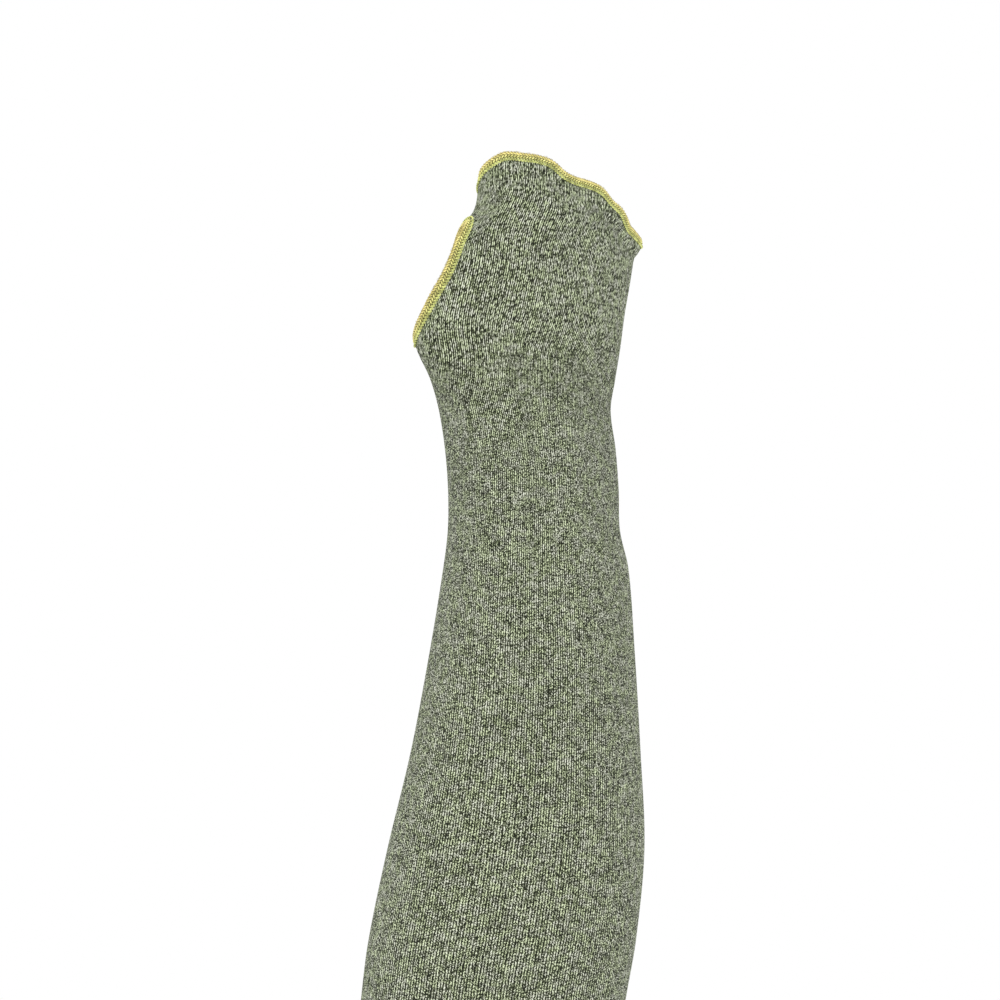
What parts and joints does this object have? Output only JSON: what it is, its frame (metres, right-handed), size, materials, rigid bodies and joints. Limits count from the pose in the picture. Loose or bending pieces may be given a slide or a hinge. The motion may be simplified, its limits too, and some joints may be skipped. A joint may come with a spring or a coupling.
{
  "type": "cut resistant sleeve",
  "caption": "Knitted protective sleeve for a hand, wrist and forearm, held in its worn form, with a thumb opening and overlocked edges.",
  "frame": {"origin": "middle of the wrist, inside the sleeve, where the worn sleeve is held", "axes": "+Z along the arm towards the fingers, -Y the side that the picture sees, with the thumb opening towards -X"},
  "size_m": [0.1215, 0.0829, 0.4567],
  "materials": {
    "knit": "green-grey marled jersey knit",
    "edging": "yellow overlock stitches"
  },
  "bodies": {
    "root": {"knit_tube": "knit", "hand_edging": "edging", "thumb_edging": "edging", "arm_edging": "edging"}
  },
  "joints": []
}
